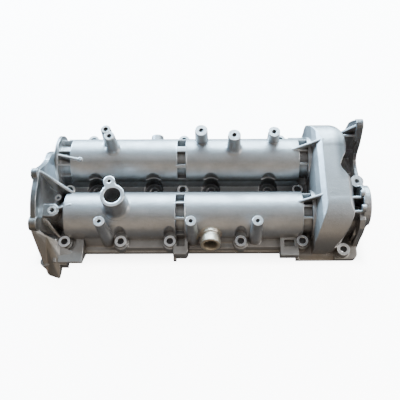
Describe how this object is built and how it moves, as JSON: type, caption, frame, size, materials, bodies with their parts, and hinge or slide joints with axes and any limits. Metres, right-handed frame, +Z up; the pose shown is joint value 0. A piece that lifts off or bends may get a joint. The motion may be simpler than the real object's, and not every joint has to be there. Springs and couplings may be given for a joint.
{
  "type": "engine valve cover",
  "caption": "Cast camshaft housing and valve cover with parallel cam tunnels, a gear case, end flanges and a breather neck.",
  "frame": {"origin": "middle of the housing on the plane of the sealing face, halfway between the camshaft axes and in line with the middle bearing", "axes": "+X along the camshafts towards the gear case, +Y to the rear side, +Z up, away from the cylinder head"},
  "size_m": [0.431, 0.2175, 0.0839],
  "materials": {
    "cast": "blasted casting with machined faces"
  },
  "bodies": {
    "root": {"valve_cover": "cast"}
  },
  "joints": []
}
